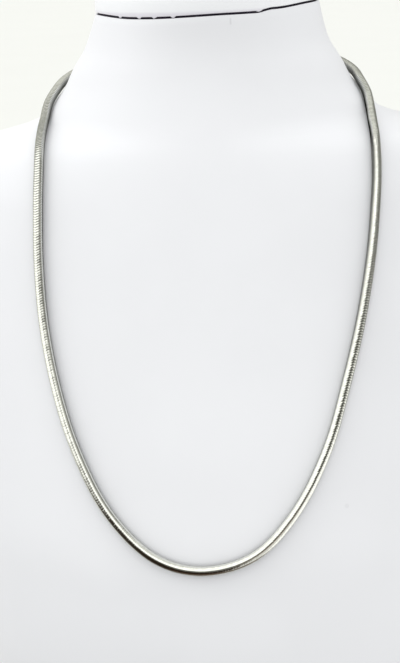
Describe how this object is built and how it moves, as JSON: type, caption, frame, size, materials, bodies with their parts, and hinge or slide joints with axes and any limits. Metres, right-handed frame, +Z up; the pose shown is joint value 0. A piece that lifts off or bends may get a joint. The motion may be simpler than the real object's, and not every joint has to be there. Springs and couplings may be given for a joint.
{
  "type": "snake chain necklace on neck bust",
  "caption": "Round steel snake chain necklace, a whole loop with a barrel clasp, worn by a plain white display bust with a short neck and a chest that leans forward.",
  "frame": {"origin": "middle of the part's bounding box, on the plane of the bust's base", "axes": "+Z up along the neck, +X to the right as seen from the front, and the chest faces -Y"},
  "size_m": [0.212, 0.1441, 0.2828],
  "materials": {
    "bust_cover": "white imitation leather, satin with a very fine grain",
    "cap_cover": "white imitation leather, satin, with a dark glued joint under it",
    "chain_steel": "polished stainless steel",
    "clasp_steel": "polished stainless steel"
  },
  "bodies": {
    "root": {"neck_bust": "bust_cover", "neck_cap": "cap_cover", "snake_chain": "chain_steel", "clasp": "clasp_steel"}
  },
  "joints": []
}
